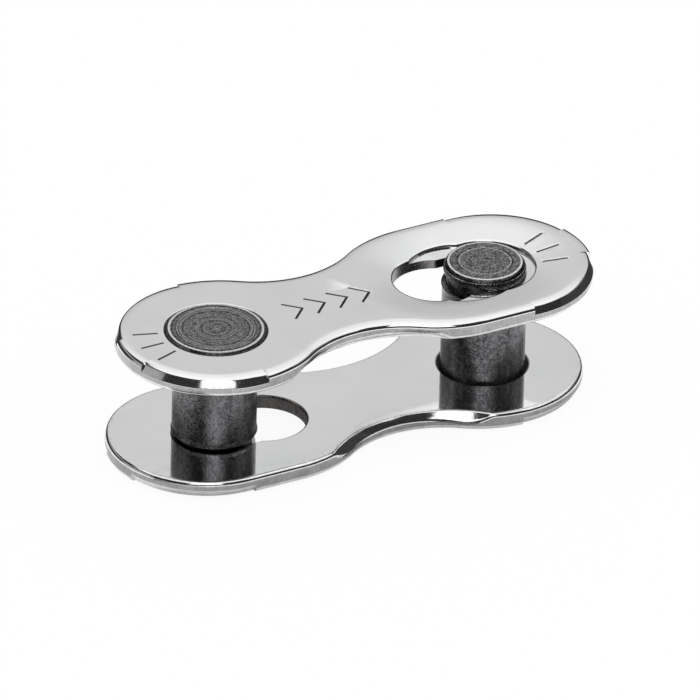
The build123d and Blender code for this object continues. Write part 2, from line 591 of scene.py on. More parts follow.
@dataclass(frozen=True)
class TurnedSteel(Finish):
    """Dark hardened steel of the pins: mottled and grainy, with lathe marks on both ends."""

    end: Spot = (2.72, 2.80)
    shoulder: Spot = (1.585, 1.605)
    head: Spot = (2.44, 2.48)
    neck: Spot = (1.68, 1.60)
    # painted shade in the neck under the free head and on the free head's shoulder
    neck_painted_shade: float = 0.85
    shoulder_painted_shade: float = 0.6
    mottle_scale: float = 4.5
    rubbed_scale: float = 1.6
    rubbed_stretch: Triple = (1.0, 1.0, 0.25)
    grain_scale: float = 12.0
    marks_scale: float = 9.0
    body_shares: Triple = (0.2, 0.3, 0.25)
    body_least: float = 0.1
    face_shares: Spot = (0.35, 0.65)
    marks_on_head: float = 0.05
    marks_on_rivet: float = 0.40
    shade_contrast: Spot = (0.2, 0.8)
    height_shares: Spot = (0.6, 0.4)
    ring_contrast: Spot = (0.2, 0.55)
    ring_least: float = 0.65
    band_contrast: Spot = (0.1, 0.5)
    # painted highlights: bright rings on the ends and bands on the free head's side
    rivet_rings: tuple[HighlightLine, ...] = (HighlightLine(1.965, 0.055, 1.0), HighlightLine(1.625, 0.03, 0.40))
    head_rings: tuple[HighlightLine, ...] = (HighlightLine(1.535, 0.06, 1.0), HighlightLine(1.085, 0.035, 0.45))
    bands: tuple[HighlightLine, ...] = (HighlightLine(2.745, 0.024, 1.0), HighlightLine(2.50, 0.02, 0.6))

    def look(self, nodes: Nodes) -> Look:
        """Mottling and grain, lathe marks on the ends, painted highlights and painted shade.

        The rivet head is where x and z have opposite signs, on either half-link.  Each pair of
        fields is the height or radius at which a part of the pin begins and is reached in full.

        Args:
            nodes: Maker of the material's nodes.

        Returns:
            What varies.
        """
        x, y, z = nodes.split(nodes.place())
        across, height = x.math("ABSOLUTE") - PIN_X, z.math("ABSOLUTE")
        radius = (across * across + y * y).math("SQRT")
        rivet = (x * z).between(0.5, -0.5)
        end = height.between(*self.end)
        mottle = nodes.noise(self.mottle_scale, 5.0, 0.7).stretched()
        rubbed = nodes.noise(self.rubbed_scale, 3.0, 0.5, self.rubbed_stretch)
        grain = nodes.noise(self.grain_scale, 3.0, 0.7).stretched()
        marks = nodes.grooves(radius, self.marks_scale).stretched()
        broad, worked, fine = self.body_shares
        body = mottle * broad + rubbed * worked + grain * fine + self.body_least
        broad, fine = self.face_shares
        share = rivet * (self.marks_on_rivet - self.marks_on_head) + self.marks_on_head
        face = (mottle * broad + grain * fine) * (1.0 - share) + marks * share
        mixed = body + (face - body) * end
        side = (1.0 - rivet) * radius.between(*self.shoulder) * height.between(*self.head)
        faint = grain.between(*self.ring_contrast) * (1.0 - self.ring_least) + self.ring_least
        # painted highlights: rings and bands mixed towards bright metal colour, broken up by the
        # grain
        painted_highlight = side * 0.0
        for highlights, along, where in (
                (self.rivet_rings, radius, rivet * end * faint),
                (self.head_rings, radius, (1.0 - rivet) * end * faint),
                (self.bands, height, side * grain.between(*self.band_contrast))):
            for highlight in highlights:
                painted_highlight = painted_highlight.math("MAXIMUM", highlight.along(along) * where)
        # painted shade: the neck and undercut, and the free head's shoulder, are darkened
        neck = radius.between(*self.neck) * (1.0 - end)
        shade = (mixed.between(*self.shade_contrast) * (1.0 - neck * self.neck_painted_shade)
                 * (1.0 - side * self.shoulder_painted_shade))
        fine, turned = self.height_shares
        return Look(shade, rubbed.stretched(), grain * fine + marks * end * turned, painted_highlight)


# ---- plate ----------------------------------------------------------------------------------
class Face(IntEnum):
    """Order of the finishes on a plate."""

    FACE = 0
    WALL = 1
    BEVEL = 2
    # walls of the holes: a darker colour, painted shade
    HOLE = 3
    MARK = 4


@dataclass(frozen=True)
class Outline:
    """Figure-eight outline of a plate, made of arcs that touch each other."""

    rivet_end_radius: float = 4.22
    slot_end_radius: float = 4.15
    slot_end_x: float = PIN_X + 0.45
    flank_x: float = PIN_X - 2.06
    shoulder_radius: float = 5.0
    waist_radius: float = 4.45
    tip_half_width: float = 1.10
    bevel_overrun: float = 4.0
    step: float = 0.055

    def shoulders(self) -> tuple[Array, Array]:
        """Centres of the shoulder arcs, of the rivet end and of the keyhole end."""
        return (np.array([-PIN_X, self.rivet_end_radius - self.shoulder_radius]),
                np.array([self.flank_x, self.slot_end_radius - self.shoulder_radius]))

    def waist(self) -> Array:
        """Centre of the waist arc: as far from both shoulder centres as the radii add up to.

        Returns:
            The centre, as (x, y).
        """
        rivet, slot = self.shoulders()
        span = slot - rivet
        length = float(np.linalg.norm(span))
        reach = math.sqrt((self.waist_radius + self.shoulder_radius) ** 2 - (length / 2) ** 2)
        return rivet + span / 2 + np.array([-span[1], span[0]]) / length * reach

    def _round(self, centre: Array | Spot, radius: float, start: float, end: float,
               bevelled: bool = False, hollow: bool = False) -> tuple[Array, Array, Array]:
        """Columns on an arc; its normals point away from the centre, or to it if it is hollow.

        Args:
            centre: Centre of the arc.
            radius: Its radius.
            start: First angle, in degrees.
            end: Last angle.
            bevelled: True if the outer edge is bevelled here.
            hollow: True if the metal lies outside the arc.

        Returns:
            Points, outward normals, and bevelled for each.
        """
        steps = max(2, math.ceil(abs(math.radians(end - start)) * radius / self.step))
        rays = arc(0, 1, start, end, steps)
        return (np.asarray(centre) + radius * rays, -rays if hollow else rays,
                np.full(len(rays), bevelled))

    def _straight(self, start: float, end: float, bevelled: bool) -> tuple[Array, Array, Array]:
        """Columns on the straight flank between two places along the chain.

        Args:
            start: First place.
            end: Last place.
            bevelled: True if the outer edge is bevelled here.

        Returns:
            Points, outward normals, and bevelled for each.
        """
        steps = max(2, math.ceil(abs(end - start) / self.step))
        along = np.linspace(start, end, steps + 1)[:, None]
        return (along * [1, 0] + [0, self.slot_end_radius], along * 0 + [0, 1],
                np.full(len(along), bevelled))

    def columns(self) -> tuple[Array, Array, Array]:
        """Columns round the plate, from the keyhole end's tip and back to it, anticlockwise.

        Returns:
            Points, outward normals, and True where the outer edge is bevelled.  Where two
            stretches meet, the column is there twice, so a bevel can end square.
        """
        (rivet, slot), waist = self.shoulders(), self.waist()
        rivet_turn, slot_turn = (
            math.degrees(math.atan2(abs(waist[0] - end[0]), waist[1] - end[1]))
            for end in (rivet, slot))
        rivet_tip, slot_tip = (
            math.degrees(math.asin(self.tip_half_width / radius))
            for radius in (self.rivet_end_radius, self.slot_end_radius))
        overrun = math.sin(math.radians(self.bevel_overrun))
        bevel_x = self.slot_end_x - self.slot_end_radius * overrun
        overlap = self.rivet_end_radius * overrun / self.shoulder_radius
        shoulder_tip = math.degrees(math.asin(overlap))
        pin, end = (-PIN_X, 0), (self.slot_end_x, 0)
        points, normals, bevelled = (np.concatenate(part) for part in zip(
            self._round(end, self.slot_end_radius, 0, slot_tip),
            self._round(end, self.slot_end_radius, slot_tip, 90, bevelled=True),
            self._straight(self.slot_end_x, bevel_x, bevelled=True),
            self._straight(bevel_x, self.flank_x, bevelled=False),
            self._round(slot, self.shoulder_radius, 90, 90 + slot_turn),
            self._round(waist, self.waist_radius, 270 + slot_turn, 270 - rivet_turn, hollow=True),
            self._round(rivet, self.shoulder_radius, 90 - rivet_turn, 90 - shoulder_tip),
            self._round(rivet, self.shoulder_radius, 90 - shoulder_tip, 90, bevelled=True),
            self._round(pin, self.rivet_end_radius, 90, 180 - rivet_tip, bevelled=True),
            self._round(pin, self.rivet_end_radius, 180 - rivet_tip, 180),
        ))
        points, normals = (
            np.concatenate([part, part[::-1] * [1, -1]]) for part in (points, normals))
        return points, normals, np.concatenate([bevelled, bevelled[::-1]])


@dataclass(frozen=True)
class RimSection:
    """Section of the plate's edge: relief or broken edge, wall, then rolled edge or bevel."""

    outline: Outline
    roll_radius: float = 0.20
    soft_radius: float = 1.5
    soft_lean: float = 77.0
    inner_radius: float = 0.18
    bevel_inset: float = 0.23
    bevel_drop: float = 0.40
    bevel_foot: float = 0.05
    bevel_brow: float = 0.20
    relief_radius: float = 5.4
    relief_width: float = 0.21
    relief_height: float = 0.50
    relief_slope: float = 52.0
    relief_foot: float = 0.09
    relief_blend: float = 0.07
    face_inset: float = 0.62
    margin: float = 0.05
    inner_steps: int = 20
    foot_steps: int = 4
    brow_steps: int = 8
    soft_steps: int = 5

    @property
    def bevel_lean(self) -> float:
        """Angle of the bevel from upright, in degrees."""
        return math.degrees(math.atan2(self.bevel_inset, self.bevel_drop))

    @property
    def bevel_start(self) -> float:
        """Height above the inner face at which the wall ends and the bevel's foot starts."""
        tangent = self.bevel_foot * math.tan(math.radians(self.bevel_lean) / 2)
        return THICKNESS - self.bevel_drop - tangent

    @staticmethod
    def _rounding(radius: float, inset: Array) -> Array:
        """Height of a rounded edge: r - sqrt(r^2 - (r - inset)^2) within its radius, then 0."""
        left = np.clip(radius - inset, 0, None)
        return radius - np.sqrt(np.maximum(radius ** 2 - left ** 2, 0))

    def inner_rows(self, points: Array, normals: Array) -> tuple[Array, Array]:
        """Inset and height of the rows from the inner face out to the wall.

        The row k lies at inset d = reach * (1 - cos a) / 2, with a from 180 degrees to 0.  Its
        height is the larger of the rounded edge and the relief cone, (R - distance from the
        cone's axis) * tan(slope), up to the cone's tip; where the two come within the blend k
        of each other, (k - their difference)^2 / 4k is added, which rounds the brow.

        Args:
            points: Columns of the outline.
            normals: Their outward normals.

        Returns:
            Insets and heights, each rows x columns.
        """
        waist = self.outline.waist()
        axis_y = waist[1] - self.outline.waist_radius - self.relief_width + self.relief_radius
        side = np.where(points[:, 1] < 0, -1.0, 1.0)[:, None]
        spoke = points - np.concatenate([0 * side + waist[0], side * axis_y], axis=1)
        along = np.sum(spoke * normals, axis=1)
        room = along ** 2 - (np.sum(spoke ** 2, axis=1) - self.relief_radius ** 2)
        width = along + np.sqrt(np.maximum(room, 0)) + self.relief_blend
        inside = np.linalg.norm(spoke, axis=1) < self.relief_radius
        reach = np.maximum(np.where(inside, width, 0), self.inner_radius)
        swing = np.radians(np.linspace(180, 0, self.inner_steps + 1))[:, None]
        inset = reach * (1 - np.cos(swing)) / 2
        distance = np.linalg.norm(spoke - inset[..., None] * normals, axis=2)
        cone = (self.relief_radius - distance) * math.tan(math.radians(self.relief_slope))
        cone = np.minimum(cone, self.relief_height) + self._rounding(self.relief_foot, inset)
        edge = self._rounding(self.inner_radius, inset)
        near = np.clip(self.relief_blend - np.abs(edge - cone), 0, None)
        height = np.maximum(edge, cone) + near ** 2 / (4 * self.relief_blend)
        height[0] = 0
        return inset, height

    def outer_rows(self, bevelled: Array) -> tuple[Array, Array]:
        """Inset and height of the rows from the wall over the outer edge, for every column.

        Args:
            bevelled: True for each column whose outer edge is bevelled.

        Returns:
            Insets and heights, each rows x columns.
        """
        soft = (self.soft_radius, 90.0, self.soft_steps)
        rolled = leaning((0, 0), [
            (self.roll_radius, self.soft_lean, self.foot_steps + self.brow_steps + 1), soft])
        rolled[:, 1] += THICKNESS - rolled[-1, 1]
        lean = self.bevel_lean
        foot = leaning((0, self.bevel_start), [(self.bevel_foot, lean, self.foot_steps)])
        low, high = (math.sin(math.radians(a)) for a in (lean, self.soft_lean))
        rise = self.bevel_brow * (high - low) + self.soft_radius * (1 - high)
        start = (self.bevel_inset * (1 - rise / self.bevel_drop), THICKNESS - rise)
        brow = leaning(start, [(self.bevel_brow, self.soft_lean, self.brow_steps), soft], lean)
        bevel = np.concatenate([foot, brow])
        rows = np.where(bevelled[None, :, None], bevel[:, None], rolled[:, None])
        last = np.broadcast_to([self.face_inset, THICKNESS], rows[:1].shape)
        rows = np.concatenate([rows, last])
        return rows[..., 0], rows[..., 1]

    def surface(self) -> tuple[Array, Array, Array, list[Array]]:
        """The rim as grids: a point is outline - inset * normal, at its row's height.

        Returns:
            Grids of the inner rows, the wall and the outer rows, and the two open ends as
            loops: on the inner face and on the outer face.
        """
        points, normals, bevelled = self.outline.columns()
        inset, height = self.inner_rows(points, normals)
        outer_inset, outer_height = self.outer_rows(bevelled)

        def carried(inset: Array, height: Array) -> Array:
            """The rows laid along the outline."""
            return lifted(points - inset[..., None] * normals, height + INNER_Z)

        inner = carried(np.concatenate([inset[:1] + self.margin, inset]),
                        np.concatenate([height[:1], height]))
        low, middle = height[-1], np.full_like(height[-1], self.bevel_start)
        wall = carried(np.zeros((4, len(points))),
                       np.stack([low, (low + middle) / 2, middle, outer_height[0]]))
        outer = carried(outer_inset, outer_height)
        loops = []
        for row in (inner[0, :, :2], outer[-1, :, :2]):
            moved = np.linalg.norm(row - np.roll(row, 1, axis=0), axis=1) > WELD
            loops.append(row[moved])
        return inner, wall, outer, loops


@dataclass(frozen=True)
class Keyhole:
    """Keyhole with its recess: the wide hole, the narrow slot and the ledge round the slot."""

    slot_half_width: float = 1.60
    wide_radius: float = 1.82
    wide_x: float = PIN_X - 2.33
    seat_radius: float = 2.11
    ramp_radius: float = 2.33
    ramp_x: float = PIN_X - 1.15
    ledge_depth: float = 0.35
    ledge_rise: float = 0.07
    seat_chamfer: float = 0.06
    wide_edge: float = 0.09
    mouth_radius: float = 0.10
    sink_depth: float = 0.165
    sink_width: float = 1.75
    sink_power: float = 1.4
    sink_blend: float = 6.0
    margin: float = 0.04
    wide_steps: int = 72
    neck_steps: int = 14
    flank_steps: int = 18
    slot_steps: int = 96
    edge_steps: int = 5
    wall_rows: int = 5

    @property
    def ledge_z(self) -> float:
        """Height of the ledge."""
        return OUTER_Z - self.ledge_depth

    @staticmethod
    def _crossing(x_a: float, radius_a: float, x_b: float, radius_b: float) -> Spot:
        """Angles, about each centre, of the upper crossing of two circles on the chain line.

        Args:
            x_a: Centre of the first circle.
            radius_a: Its radius.
            x_b: Centre of the second circle.
            radius_b: Its radius.

        Returns:
            Both angles, in degrees.
        """
        x = (radius_b ** 2 - radius_a ** 2 + x_a ** 2 - x_b ** 2) / (2 * (x_a - x_b))
        y = math.sqrt(radius_a ** 2 - (x - x_a) ** 2)
        return math.degrees(math.atan2(y, x - x_a)), math.degrees(math.atan2(y, x - x_b))

    def recess(self, grow: float) -> Array:
        """Edge of the recess, set back by grow, anticlockwise from its lower cusp to its upper.

        It has as many points as slot gives, so the ledge runs between the two.

        Args:
            grow: How far the edge is set back into the metal.

        Returns:
            The points of the edge.
        """
        seat, ramp = self.seat_radius + grow, self.ramp_radius + grow
        at_seat, at_ramp = self._crossing(PIN_X, seat, self.ramp_x, ramp)
        cusp, _ = self._crossing(self.ramp_x, ramp, self.wide_x, self.wide_radius + grow)
        side = self.neck_steps + self.flank_steps
        return np.concatenate([
            arc(self.ramp_x, ramp, -cusp, -at_ramp, side)[:-1],
            arc(PIN_X, seat, -at_seat, at_seat, self.slot_steps)[:-1],
            arc(self.ramp_x, ramp, at_ramp, cusp, side),
        ])

    def wide(self, grow: float, kept: bool = False) -> Array:
        """Edge of the wide hole outside the recess, anticlockwise from the upper cusp.

        Args:
            grow: How far it is set back into the metal.
            kept: True if the cusp keeps its angle, as it does below the ledge.

        Returns:
            The points of the edge.
        """
        more = 0.0 if kept else grow
        _, cusp = self._crossing(
            self.ramp_x, self.ramp_radius + more, self.wide_x, self.wide_radius + more)
        return arc(self.wide_x, self.wide_radius + grow, cusp, 360 - cusp, self.wide_steps)

    def slot(self, grow: float, grow_wide: float = 0.0) -> Array:
        """Edge of the keyhole inside the recess, anticlockwise from its lower cusp.

        Args:
            grow: How far the slot is set back into the metal.
            grow_wide: How far the wide hole's part is set back.

        Returns:
            The points of the edge.
        """
        half, wide = self.slot_half_width + grow, self.wide_radius + grow_wide
        _, cusp = self._crossing(self.ramp_x, self.ramp_radius, self.wide_x, self.wide_radius)
        neck = math.degrees(math.asin(half / wide))
        neck_x = self.wide_x + wide * math.cos(math.radians(neck))
        flank = np.linspace(neck_x, PIN_X, self.flank_steps + 1)[:, None] * [1, 0] + [0, half]
        return np.concatenate([
            arc(self.wide_x, wide, -cusp, -neck, self.neck_steps)[:-1],
            (flank * [1, -1])[:-1],
            arc(PIN_X, half, -90, 90, self.slot_steps)[:-1],
            flank[::-1][:-1],
            arc(self.wide_x, wide, neck, cusp, self.neck_steps),
        ])

    def add_to(self, patches: Patchwork) -> tuple[Array, Array]:
        """Adds the keyhole's surfaces.

        A row is an edge of the keyhole, set back by its own amount, at its own height.

        Args:
            patches: Where the surfaces go.

        Returns:
            Its outline on the inner face and on the outer face.
        """
        turn = np.radians(np.linspace(90, 0, self.edge_steps + 1))
        grows = np.append(self.mouth_radius + self.margin, self.mouth_radius * (1 - np.cos(turn)))
        heights = np.append(OUTER_Z, OUTER_Z - self.mouth_radius * (1 - np.sin(turn)))
        closed = [np.concatenate([self.recess(g)[:-1], self.wide(g)]) for g in grows]
        patches.grid(np.stack([lifted(c, z) for c, z in zip(closed, heights)]), Face.FACE)

        rim, lip, low = self.recess(0), self.slot(0), heights[-1]
        order = np.arange(len(rim))
        rise = self.ledge_rise * np.clip(np.minimum(order, order[::-1]) / self.neck_steps, 0, 1)
        share = np.linspace(0, 1, self.wall_rows)[:, None]
        down = low + (self.ledge_z + rise - low) * share
        patches.grid(lifted(np.broadcast_to(rim, (len(share), *rim.shape)), down), Face.BEVEL)
        drop = np.linspace(low, self.ledge_z, self.wall_rows)
        patches.grid(np.stack([lifted(self.wide(0), z) for z in drop]), Face.HOLE)
        ledge = rim + (lip - rim) * share[..., None]
        patches.grid(lifted(ledge, self.ledge_z + rise * (1 - share)), Face.FACE)

        rows = self._lower_rows()
        patches.grid(rows[:-1], Face.HOLE)
        patches.grid(rows[-2:], Face.FACE)
        return rows[-1, :-1, :2], closed[0][:-1]

    def _lower_rows(self) -> Array:
        """Rows from the ledge down to the inner face, round the slot and the wide hole.

        With s from 0 to 1, the slot is set back by its chamfer * s and falls as much.  The wide
        hole is set back by its edge radius * (1 - cos 90s), at the radius * (1 - sin 90s) above
        the face.  Along the neck the height goes evenly from the one to the other.

        Returns:
            Grid of the rows.
        """
        ease = np.linspace(0, 1, self.neck_steps, endpoint=False)
        middle = np.ones(2 * self.flank_steps + self.slot_steps + 1)
        narrow = np.concatenate([ease, middle, ease[:0:-1], np.zeros(self.wide_steps + 1)])
        rows = [(0.0, 0.0, self.ledge_z, self.ledge_z)]
        for share in np.linspace(0, 1, self.edge_steps + 1):
            swing = math.radians(90 * share)
            rows.append((self.seat_chamfer * share, self.wide_edge * (1 - math.cos(swing)),
                         INNER_Z + self.seat_chamfer * (1 - share),
                         INNER_Z + self.wide_edge * (1 - math.sin(swing))))
        rows.append((self.seat_chamfer + self.margin, self.wide_edge + self.margin,
                     INNER_Z, INNER_Z))
        return np.stack([
            lifted(np.concatenate([self.slot(slot, wide)[:-1], self.wide(wide, kept=True)]),
                   narrow * slot_z + (1 - narrow) * wide_z)
            for slot, wide, slot_z, wide_z in rows
        ])

    def _outside(self, spots: Array) -> Array:
        """Distance outside the mouth: the smooth least of those from its three circles.

        It is -ln(sum of e^(-k d)) / k, with k the blend, and 0 inside.

        Args:
            spots: Points, as rows of (x, y).

        Returns:
            The distance of each.
        """
        circles = ((PIN_X, self.seat_radius), (self.ramp_x, self.ramp_radius),
                   (self.wide_x, self.wide_radius))
        off = np.stack([np.hypot(spots[:, 0] - x, spots[:, 1]) - radius for x, radius in circles])
        least = -np.log(np.sum(np.exp(-self.sink_blend * off), axis=0)) / self.sink_blend
        return np.clip(least, 0, None)

    def sunk(self, points: Array) -> Array:
        """The plate with its outer face dished towards the keyhole.

        A point falls by depth * (1 - d / width)^power, d being its distance outside the mouth,
        times its height above the ledge as a share of the ledge's depth.

        Args:
            points: Points of the whole plate.

        Returns:
            The points where they come to lie.
        """
        near = 1 - np.clip(self._outside(points[:, :2]) / self.sink_width, 0, 1)
        share = np.clip((points[:, 2] - self.ledge_z) / self.ledge_depth, 0, 1)
        return points - (self.sink_depth * near ** self.sink_power * share)[:, None] * [0, 0, 1]

    def lattice(self) -> Array:
        """Points of a triangular lattice over the dish, for the corners of its triangles.

        Returns:
            The points, as rows of (x, y).
        """
        reach = self.ramp_radius + self.sink_width + LATTICE
        x = np.arange(self.wide_x - reach, PIN_X + reach, LATTICE)
        y = np.arange(-reach, reach, LATTICE * math.sqrt(3) / 2)
        spots = np.stack(np.meshgrid(x, y), axis=-1)
        spots[1::2, :, 0] += LATTICE / 2
        spots = spots.reshape(-1, 2)
        off = self._outside(spots)
        return spots[(off > self.mouth_radius) & (off < self.sink_width + LATTICE)]


@dataclass(frozen=True)
class RivetHole:
    """Countersunk hole for the rivet head, with a broken edge on the inner face."""

    radius: float = 1.785
    sink_radius: float = 2.19
    brow_radius: float = 0.05
    brow_steps: int = 5
    root_chamfer: float = 0.15
    root_radius: float = 0.03
    root_steps: int = 3
    margin: float = 0.05
    columns: int = 160

    def add_to(self, patches: Patchwork) -> tuple[Array, Array]:
        """Adds the hole, a profile turned about the pin's axis, and returns its two outlines.

        Args:
            patches: Where the surfaces go.

        Returns:
            Its outline on the inner face and on the outer face.
        """
        root = self.radius + self.root_chamfer
        grid = revolved(filleted([
            (self.sink_radius + self.margin, OUTER_Z),
            (self.sink_radius, OUTER_Z, self.brow_radius, self.brow_steps),
            (self.radius, OUTER_Z - (self.sink_radius - self.radius)),
            (self.radius, INNER_Z + self.root_chamfer),
            (root, INNER_Z, self.root_radius, self.root_steps),
            (root + self.margin, INNER_Z),
        ]), self.columns)
        brow = self.brow_steps + 1
        patches.grid(grid[:brow + 1], Face.FACE)
        patches.grid(grid[brow:], Face.HOLE)
        return grid[-1, :-1, :2], grid[0, :-1, :2]


@dataclass(frozen=True)
class Stroke:
    """One engraved stroke: a V-groove along a path of straight runs."""

    path: tuple[Spot, ...]
    half_width: float = 0.055
    depth: float = 0.05

    def sides(self) -> tuple[Array, Array, Array]:
        """Right edge, bottom and left edge: the path moved sideways, mitred at its corners.

        Returns:
            Points of the three lines, one for each point of the path.
        """
        path = np.array(self.path)
        runs = np.diff(path, axis=0)
        runs /= np.linalg.norm(runs, axis=1)[:, None]
        left = np.stack([-runs[:, 1], runs[:, 0]], axis=1)
        mitre = np.concatenate([left[:1], left]) + np.concatenate([left, left[-1:]])
        mitre *= (2 / np.sum(mitre ** 2, axis=1))[:, None]
        tips = path.copy()
        tips[0] -= runs[0] * self.half_width
        tips[-1] += runs[-1] * self.half_width
        offset = mitre * self.half_width
        return tips - offset, path, tips + offset

    def add_to(self, patches: Patchwork) -> Array:
        """Adds the groove to the outer face and returns its outline.

        Args:
            patches: Where the surfaces go.

        Returns:
            Its outline on the outer face.
        """
        right, bottom, left = self.sides()
        grid = np.stack([lifted(right, OUTER_Z), lifted(bottom, OUTER_Z - self.depth),
                         lifted(left, OUTER_Z)])
        patches.grid(grid, Face.MARK)
        for end, order in ((0, (2, 0, 1)), (-1, (0, 2, 1))):
            patches.add(grid[:, end], np.array([order]), Face.MARK)
        return np.concatenate([right, left[::-1]])


@dataclass(frozen=True)
class Engraving:
    """Plain marks on the outer face: a row of arrowheads at the waist and ticks at both ends."""

    head_length: float = 0.62
    head_half_width: float = 0.62
    head_pitch: float = 1.05
    heads: int = 4
    first_x: float = -2.9
    tick_length: float = 0.95
    tick_radius: float = 2.98
    tick_turn: float = 19.0

    def strokes(self) -> list[Stroke]:
        """The strokes: arrowheads along the chain line and spokes about both pin axes.

        Returns:
            The strokes.
        """
        made = []
        for count in range(self.heads):
            x, half = self.first_x + count * self.head_pitch, self.head_half_width
            made.append(Stroke(((x, half), (x + self.head_length, 0.0), (x, -half))))
        reach = [self.tick_radius - self.tick_length / 2, self.tick_radius + self.tick_length / 2]
        for centre, facing in ((-PIN_X, 180), (PIN_X, 0)):
            for count in (-1, 0, 1):
                turn = math.radians(facing + count * self.tick_turn)
                made.append(Stroke(tuple(
                    (centre + r * math.cos(turn), r * math.sin(turn)) for r in reach)))
        return made


@dataclass(frozen=True)
class Plate:
    """Stamped plate of a half-link."""

    finishes: list[bpy.types.Material]
    rim: RimSection = RimSection(Outline())
    rivet_hole: RivetHole = RivetHole()
    keyhole: Keyhole = Keyhole()
    engraving: Engraving = Engraving()

    def build(self, name: str, turn: int) -> bpy.types.Object:
        """Builds the plate of one half, sewn from the patches of its rim, holes, marks and faces.

        Args:
            name: Name of the piece.
            turn: 1 for the upper half, -1 for the lower one.

        Returns:
            The piece.
        """
        patches = Patchwork()
        inner, wall, outer, (inner_loop, outer_loop) = self.rim.surface()
        split = self.rim.foot_steps + 1
        patches.grid(inner, Face.BEVEL)
        patches.grid(wall, Face.WALL)
        patches.grid(outer[:split + 1], Face.BEVEL)
        patches.grid(outer[split:], Face.FACE)
        hole_inner, hole_outer = self.rivet_hole.add_to(patches)
        key_inner, key_outer = self.keyhole.add_to(patches)
        marks = [stroke.add_to(patches) for stroke in self.engraving.strokes()]
        patches.flat([outer_loop, hole_outer, key_outer, *marks], OUTER_Z, True,
                     self.keyhole.lattice())
        patches.flat([inner_loop, hole_inner, key_inner], INNER_Z, False)
        patches.points = [self.keyhole.sunk(np.concatenate(patches.points))]
        return patches.piece(name, self.finishes, turn)


